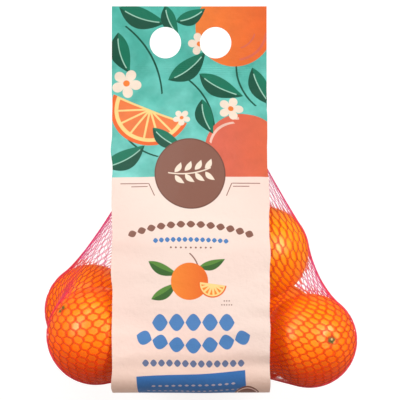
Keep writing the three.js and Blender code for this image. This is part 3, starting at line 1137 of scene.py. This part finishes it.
# Near the fold the film stands off and light comes through, and this light is painted on: a warm pale tint,
# less darkening of the inks, and a faint glow of the print's own colour. Each change starts this far down the
# film, grows over this length, and ends at this share. The paler one comes sooner towards the left.
FOLD_GLOW = {"from": 285, "over": 35, "share": 0.85}
FOLD_PALER = {"from": 268, "over": 36, "share": 0.18, "slant": 0.24}
FOLD_SHINE = {"from": 298, "over": 25, "share": 0.15}
WELD = {"down": 52, "half": 5, "rib": 4}  # the ribbed weld across the header
INK = {
    "teal_top": srgb(96, 215, 201),
    "teal_low": srgb(140, 235, 228),
    "teal_shade": srgb(36, 160, 142),
    "wash": srgb(60, 60, 50),
    "cream": srgb(253, 238, 228),
    "blush": srgb(252, 222, 212),
    # a warm pale ink; at the fold it is painted light, for the fruit's colour that shines through
    "glow": srgb(255, 230, 214),  # where the fruit's colour shines through at the fold
    "orange": srgb(246, 110, 46),
    "amber": srgb(250, 136, 56),
    "coral": srgb(226, 112, 92),
    "rust": srgb(234, 112, 72),
    "pith": srgb(255, 229, 150),
    "flesh": srgb(247, 132, 72),
    "leaf": srgb(0, 124, 96),
    "leaf_dark": srgb(0, 86, 66),
    "rib": srgb(168, 228, 208),
    "petal": srgb(252, 240, 222),
    "brown": srgb(140, 98, 84),
    "brown_dark": srgb(118, 82, 70),
    "blue": srgb(80, 138, 202),
    "steel": srgb(110, 130, 170),
    "panel": srgb(62, 124, 196),
    "panel_low": srgb(88, 146, 208),
    "field_leaf": srgb(92, 146, 62),
    "field_leaf_dark": srgb(58, 108, 48),
    "fruit": srgb(252, 146, 52),
    "fruit_dark": srgb(240, 112, 36),
}

# Across, down, radius across, radius down, colour at the left, colour at the right
ART_FRUIT = (
    (36, 17, 31, 31, "amber", "orange"),
    (43, 121, 31, 33, "coral", "rust"),
)
# Across, down, turn in degrees, length, width
ART_LEAVES = (
    (-38, 10, 18, 40, 17),
    (-55, 38, 74, 34, 16),
    (0, 50, -38, 38, 16),
    (24, 66, 28, 40, 17),
    (56, 66, 62, 36, 15),
    (-50, 128, -30, 38, 17),
    (-16, 12, 66, 26, 12),
    (-18, 112, 38, 32, 13),
    (12, 92, 74, 32, 14),
    (2, 9, -24, 26, 12),
)
# Across, down, turn, length, bend
ART_STEMS = (
    (-30, 40, 62, 62, 7),
    (40, 62, 70, 44, -6),
    (-47, 112, 50, 50, -8),
    (12, 74, 60, 60, 8),
)
# Across, down, turn, length, width, bend and ink of the strokes that round the fruit
ART_STROKES = (
    (54.5, 35.5, -45, 30, 2.2, -5, "coral"),
    (48, 29, -45, 16, 1.4, -2, "coral"),
    (23, 102, -43, 26, 2.2, 4.5, "glow"),
    (38, 92.5, -8, 3, 2.2, 0, "glow"),
)
ART_WEDGES = ((-31, 84, 24, 32),)  # across, down, turn, radius
ART_BLOSSOMS = (
    (-50, 62, 10, 12),
    (8, 30, 40, 9),
    (33, 84, 0, 10),
    (-6, 92, 20, 7),
)


def growing(down, change):
    """How far a change near the fold has come, at a distance down the film."""
    return ((down - change["from"]) / change["over"]).clamp() * change["share"]


def soft_mask(inside):
    """1 where a distance to a shape's edge is inwards, 0 outside, with the print's own soft edge."""
    return (inside / PRINT_BLUR + 0.5).clamp()


def motif_group(name, sizes, outputs, draw):
    """A node group that draws one motif about its own centre, along and aside its own turned axis."""
    inputs = {"Across": ("Float", 0.0), "Down": ("Float", 0.0), "Centre Across": ("Float", 0.0)}
    inputs |= {"Centre Down": ("Float", 0.0), "Turn": ("Float", 0.0)}
    inputs |= {label: ("Float", value) for label, value in sizes.items()}
    tree, given, end = new_tree(name, "ShaderNodeTree", inputs, {label: "Float" for label in outputs})
    across = given["Across"] - given["Centre Across"]
    down = given["Down"] - given["Centre Down"]
    turn = given["Turn"].math("RADIANS")
    cos, sin = turn.math("COSINE"), turn.math("SINE")
    masks = draw(across * cos + down * sin, down * cos - across * sin, given)
    for label, mask in zip(outputs, masks):
        feed(end.inputs[label], mask)
    return tree


def draw_leaf(along, aside, given):
    """A pointed leaf, fuller towards its base; its darker half and its pale rib."""
    share = (along / given["Length"] * 2.0).least(1.0).most(-1.0)
    bowed = aside + given["Width"] * 0.2 * share * share
    half_width = given["Width"] / 2 * (1.0 - share * share) * (1.0 - 0.25 * share)
    leaf = soft_mask(half_width - abs(bowed) - PRINT_BLUR / 2)
    half = leaf * soft_mask(bowed)
    rib = soft_mask(0.42 - abs(bowed)) * soft_mask(given["Length"] * 0.36 - abs(along))
    return leaf, half, rib


def draw_disc(along, aside, given):
    """A round or oval field, and how far across it a point is, from 0 at its left to 1 at its right."""
    out = hypot(along / given["Half Across"], aside / given["Half Down"])
    return soft_mask((1.0 - out) * given["Half Across"]), (along / given["Half Across"] * 0.5 + 0.5).clamp()


def draw_wedge(along, aside, given):
    """Half a round slice: its peel, its pith and its flesh, parted by walls of pith."""
    radius = given["Radius"]
    out = hypot(along, aside)
    wall_angle = math.pi / 7
    angle = aside.math("ARCTAN2", along) % wall_angle
    near_wall = angle.least(wall_angle - angle) * out
    peel = soft_mask(radius - out) * soft_mask(aside)
    pith = soft_mask(radius * 0.9 - out) * soft_mask(aside)
    cell = (radius * 0.8 - out).least(near_wall - 0.8).least(aside - 1.6).least(out - 3.5)
    return peel, pith, soft_mask(cell)


def draw_blossom(along, aside, given):
    """Five petals round a small heart."""
    out = hypot(along, aside)
    lobe = abs((aside.math("ARCTAN2", along) * 2.5).math("COSINE"))
    edge = given["Radius"] * (0.38 + 0.62 * lobe.math("POWER", 0.55))
    return soft_mask(edge - out), soft_mask(given["Radius"] * 0.22 - out)


def draw_stem(along, aside, given):
    """A curved line."""
    half = given["Length"] / 2
    bowed = aside - given["Bend"] * (along / half) * (along / half)
    return (soft_mask(given["Width"] / 2 - abs(bowed)) * soft_mask(half - abs(along)),)


def draw_bar(along, aside, given):
    """A bar with round ends."""
    half = given["Width"] / 2
    past = (abs(along) - (given["Length"] / 2 - half)).most(0.0)
    return (soft_mask(half - hypot(past, aside)),)


def draw_panel(along, aside, given):
    """A plain rectangle."""
    return (soft_mask((given["Length"] / 2 - abs(along)).least(given["Width"] / 2 - abs(aside))),)


def draw_garland(along, aside, given):
    """A row of petals along an arc. A positive bend lifts the row's middle, a negative one lets it hang."""
    bend = given["Bend Radius"]
    hand = bend.math("SIGN")
    to_centre = hand * (bend - aside)
    out = hypot(along, to_centre)
    run = along.math("ARCTAN2", to_centre) * abs(bend)
    below = hand * (abs(bend) - out)
    cell = run / given["Spacing"]
    number = (cell + 0.5).math("FLOOR")
    inside = soft_mask((given["Count"] / 2 - abs(number)) * 9.0)
    share = ((cell - number) * given["Spacing"] / given["Petal Length"] * 2.0).least(1.0).most(-1.0)
    half_width = given["Petal Width"] / 2 * (1.0 - share * share)
    return (inside * soft_mask(half_width - abs(below) - PRINT_BLUR / 2),)


def print_groups():
    """Every motif's node group, by name."""
    return {
        "leaf": motif_group("Leaf", {"Length": 36, "Width": 16}, ("Leaf", "Half", "Rib"), draw_leaf),
        "disc": motif_group("Disc", {"Half Across": 30, "Half Down": 30}, ("Disc", "Side"), draw_disc),
        "wedge": motif_group("Wedge", {"Radius": 30}, ("Peel", "Pith", "Flesh"), draw_wedge),
        "blossom": motif_group("Blossom", {"Radius": 10}, ("Petals", "Heart"), draw_blossom),
        "stem": motif_group("Stem", {"Length": 40, "Width": 1.5, "Bend": 4}, ("Stem",), draw_stem),
        "bar": motif_group("Bar", {"Length": 20, "Width": 0.6}, ("Bar",), draw_bar),
        "panel": motif_group("Panel", {"Length": 20, "Width": 10}, ("Panel",), draw_panel),
        "garland": motif_group(
            "Garland",
            {"Bend Radius": 130, "Spacing": 8, "Count": 11, "Petal Length": 6, "Petal Width": 3},
            ("Petals",),
            draw_garland,
        ),
    }


class Print:
    """A picture that is painted over and over with motifs, each one on top of the last."""

    def __init__(self, tree, across, down, colour):
        self.tree, self.across, self.down, self.colour = tree, across, down, colour
        self.groups = print_groups()

    def motif(self, kind, across, down, turn=0, **sizes):
        """The masks of one motif at this place, by name."""
        inputs = {"Across": self.across, "Down": self.down, "Centre Across": across, "Centre Down": down}
        inputs |= {"Turn": turn} | {name.replace("_", " "): value for name, value in sizes.items()}
        return placed_group(self.tree, self.groups[kind], inputs)

    def paint(self, mask, ink):
        """Lays an ink, or a colour of its own, over the picture where the mask is 1."""
        self.colour = mixed(self.tree, self.colour, INK[ink] if isinstance(ink, str) else ink, mask)

    def leaf(self, across, down, turn, length, width, inks=("leaf", "leaf_dark", "rib")):
        made = self.motif("leaf", across, down, turn, Length=length, Width=width)
        for mask, ink in zip((made["Leaf"], made["Half"], made["Rib"]), inks):
            self.paint(mask, ink)

    def fruit(self, across, down, half_across, half_down, left, right):
        made = self.motif("disc", across, down, Half_Across=half_across, Half_Down=half_down)
        self.paint(made["Disc"], mixed(self.tree, INK[left], INK[right], made["Side"]))


def paint_art(film):
    """The teal panel: fruit, a cut wedge, blossoms and leafy twigs."""
    for across, down, turn, length, bend in ART_STEMS:
        made = film.motif("stem", across, down, turn, Length=length, Width=1.5, Bend=bend)
        film.paint(made["Stem"], "leaf_dark")
    for across, down, turn, length, width in ART_LEAVES[:3]:
        film.leaf(across, down, turn, length, width)
    for spec in ART_FRUIT:
        film.fruit(*spec)
    for across, down, turn, length, width, bend, ink in ART_STROKES:
        stroke = film.motif("stem", across, down, turn, Length=length, Width=width, Bend=bend)["Stem"]
        film.paint(stroke * 0.75, ink)
    for across, down, turn, radius in ART_WEDGES:
        made = film.motif("wedge", across, down, turn, Radius=radius)
        for label, ink in (("Peel", "orange"), ("Pith", "pith"), ("Flesh", "flesh")):
            film.paint(made[label], ink)
    for across, down, turn, length, width in ART_LEAVES[3:]:
        film.leaf(across, down, turn, length, width)
    for across, down, turn, radius in ART_BLOSSOMS:
        made = film.motif("blossom", across, down, turn, Radius=radius)
        film.paint(made["Petals"], "petal")
        film.paint(made["Heart"], "amber")


def paint_badge(film):
    """A plain round badge with a fine ring, a small sprig in it and ruled lines at its sides."""
    middle, half_across, half_down, tilt = 141.4, 28, 31, -8
    for part, ink in ((1.0, "brown_dark"), (0.965, "brown")):
        made = film.motif("disc", 0, middle, Half_Across=half_across * part, Half_Down=half_down * part)
        film.paint(made["Disc"], ink)
    film.paint(film.motif("stem", 0, middle, tilt, Length=34, Width=1.1, Bend=-3)["Stem"], "petal")
    for along in (-12, -4, 4, 12):
        for side in (-1, 1):
            across, down = along + 3.2, middle - 0.14 * along + side * 5.4 - 1.2
            made = film.motif("leaf", across, down, tilt + side * 52, Length=10.5, Width=4.6)
            film.paint(made["Leaf"], "petal")
    lines = ((44, 149.7, 0, 22), (40, 152.4, 0, 13), (30.5, 155, -68, 12))
    for side in (-1, 1):
        for across, down, turn, length in lines:
            made = film.motif("bar", side * across, down, side * turn, Length=length, Width=0.7)
            film.paint(made["Bar"], "brown")


def paint_rows(film):
    """Rows of petals and dots down the cream part."""
    # across, down, ink, bend radius, spacing, count, petal length, petal width
    rows = (
        (0, 185.5, "brown", 130, 7.8, 12, 7.2, 6.4),
        (0, 198.6, "blue", 300, 4.6, 12, 4.2, 4.4),
        (0, 205.2, "brown", 4000, 3.9, 8, 1.9, 1.9),
        (2, 264.5, "blue", 4000, 13.0, 4, 12.4, 14.0),
        (2, 283, "blue", -121, 13.0, 7, 12.6, 12.4),
        (2, 297, "steel", 4000, 6.2, 12, 5.6, 6.0),
        (28, 247.5, "brown", 4000, 1.9, 3, 1.5, 1.3),
        (28, 250.6, "brown", 4000, 1.9, 4, 1.5, 1.3),
    )
    for across, down, ink, bend, spacing, count, length, width in rows:
        sizes = {"Bend_Radius": bend, "Spacing": spacing, "Count": count + 0.5}
        sizes |= {"Petal_Length": length, "Petal_Width": width}
        film.paint(film.motif("garland", across, down, **sizes)["Petals"], ink)


def paint_picture(film):
    """A small picture of an orange with a half and leaves."""
    leaf = ("field_leaf", "field_leaf_dark", "field_leaf_dark")
    film.paint(film.motif("stem", 4, 216, 62, Length=16, Width=1.0, Bend=1.5)["Stem"], "brown")
    film.leaf(-22, 223, 24, 26, 9, leaf)
    film.leaf(-20, 241, -34, 24, 9, leaf)
    film.leaf(17, 219, -18, 22, 8, leaf)
    film.fruit(-1, 232, 14.5, 14.8, "fruit", "fruit_dark")
    made = film.motif("wedge", 17, 234, 8, Radius=11)
    for label, ink in (("Peel", "fruit_dark"), ("Pith", "pith"), ("Flesh", "fruit")):
        film.paint(made[label], ink)


def paint_foot(film):
    """The blue panel that runs round the fold, with pale rows on it and a round seal at its corner."""
    tilt = -3.4
    made = film.motif("panel", 2, 340, tilt, Length=85, Width=70)
    film.paint(made["Panel"], "panel")
    for down, spacing, count in ((314.5, 5.2, 12), (322.5, 4.4, 16), (333, 4.0, 14)):
        sizes = {"Bend_Radius": 4000, "Spacing": spacing, "Count": count + 0.5}
        row = film.motif("garland", 2, down, tilt, Petal_Length=spacing * 0.7, Petal_Width=2.4, **sizes)
        film.paint(row["Petals"] * 0.55, "cream")
    for part, ink in ((1.0, "brown"), (0.86, "blush"), (0.76, "brown")):
        made = film.motif("disc", 44, 331, Half_Across=9.5 * part, Half_Down=15 * part)
        film.paint(made["Disc"], ink)


def film_material(length):
    """Satin film: cream with a teal head, printed with simple shapes, softly wrinkled, with light painted on
    it near the fold.
    """
    material, tree, surface = new_material(
        "printed_film",
        Coat_Weight=0.05,
        Specular_IOR_Level=0.25,
        Emission_Strength=1.0,
    )
    place = Wire(node(tree, "ShaderNodeUVMap", uv_map="film").outputs["UV"])
    x, y, _ = split(place)
    across = (x - 0.5) * BAND["width"]
    down = (1.0 - y) * length
    from_edge = down.least(length - down)  # the print's head is the same on both layers of the header
    spot = object_place(tree)

    teal = mixed(tree, INK["teal_top"], INK["teal_low"], (from_edge / TEAL_END).clamp())
    teal = mixed(tree, teal, INK["teal_shade"], mottle(tree, spot, 0.018, 0, 0.6))
    film = Print(tree, across, from_edge, teal)
    paint_art(film)
    film.paint(mottle(tree, spot, 0.011, 0, 0.12), "wash")

    cream = mixed(tree, INK["cream"], INK["blush"], mottle(tree, spot, 0.09, 0, 0.72, 1.0))
    # painted light: a warm pale tint near the fold
    cream = mixed(tree, cream, INK["glow"], growing(down, FOLD_GLOW))
    film.colour = mixed(tree, cream, film.colour, soft_mask(TEAL_END - from_edge))
    film.down = down  # the print below the head is on the front alone
    paint_badge(film)
    paint_rows(film)
    paint_picture(film)
    paint_foot(film)
    # painted light: the inks are darkened less near the fold, sooner on the left
    depth = PRINT_DEPTH - growing(down - across * FOLD_PALER["slant"], FOLD_PALER)
    feed(surface.inputs["Base Color"], mixed(tree, film.colour, BLACK, depth))
    # painted glow: the film gives off its own colour near the fold
    feed(surface.inputs["Emission Color"], mixed(tree, BLACK, film.colour, growing(down, FOLD_SHINE)))

    fine = mottle(tree, spot, 0.004, 0, 1) + mottle(tree, spot, 0.0012, 0, 0.3)
    weld = soft_mask((WELD["half"] - abs(from_edge - WELD["down"])) * 0.2)
    weld = weld * (from_edge * WELD["rib"]).math("SINE")
    bumped(tree, surface, fine + weld * 0.3, 0.00025, 0.5)
    feed(surface.inputs["Roughness"], mottle(tree, spot, 0.02, 0.36, 0.5))
    return material


# ---- Studio ----

FLOOR_GLOW, FLOOR_HALF = 0.82, 4.0
LIT_POINT = (0, -60, 75)  # in the working frame
CAMERA = {"place": (0.82 * MM, -1.52 * MM, 3.146), "lens": 346.4, "sensor": 36}
# name: the direction it stands in from the pack, its distance, side and power
SOFTBOXES = {
    "softbox_left": ((-0.74, 0.32, 0.6), 1.5, 0.5, 11.4),
    "softbox_right": ((0.7, 0.29, 0.66), 1.6, 0.65, 17),
    "softbox_head": ((-0.35, 0.9, 0.5), 1.8, 1.0, 8.5),
    "softbox_top": ((0.05, 0.35, 1.0), 2.2, 1.2, 5.5),
}
WORLD_LIGHT, WORLD_TINT = 0.32, (1, 0.64, 0.5, 1)


def make_studio():
    """The paper floor, the room's own light, the softboxes round the pack and the camera above it."""
    scene = bpy.context.scene
    scene.view_settings.view_transform = "Standard"
    side = FLOOR_HALF
    corners = [(-side, -side, 0), (side, -side, 0), (side, side, 0), (-side, side, 0)]
    mesh = bpy.data.meshes.new("floor")
    mesh.from_pydata(corners, [], [(0, 1, 2, 3)])
    mesh.materials.append(floor_material())
    new_object("floor", mesh)

    world = bpy.data.worlds.new("studio")
    world.use_nodes = True
    background = world.node_tree.nodes["Background"]
    background.inputs["Color"].default_value = WORLD_TINT
    background.inputs["Strength"].default_value = WORLD_LIGHT
    scene.world = world

    middle = Vector(metres(LIT_POINT))
    for name, (way, distance, size, power) in SOFTBOXES.items():
        lamp = bpy.data.lights.new(name, "AREA")
        lamp.shape, lamp.size, lamp.energy = "SQUARE", size, power
        box = new_object(name, lamp)
        way = Vector(way).normalized()
        box.location = middle + way * distance
        box.rotation_euler = way.to_track_quat("Z", "Y").to_euler()
        box.visible_camera = False

    lens = bpy.data.cameras.new("camera")
    lens.lens, lens.sensor_width = CAMERA["lens"], CAMERA["sensor"]
    lens.clip_end = 20
    camera = new_object("camera", lens)
    camera.location = CAMERA["place"]
    scene.camera = camera


def main():
    make_net(strand_material())
    make_oranges(peel_material(), stem_material())
    make_film_band()
    make_studio()


main()
bpy.context.view_layer.update()
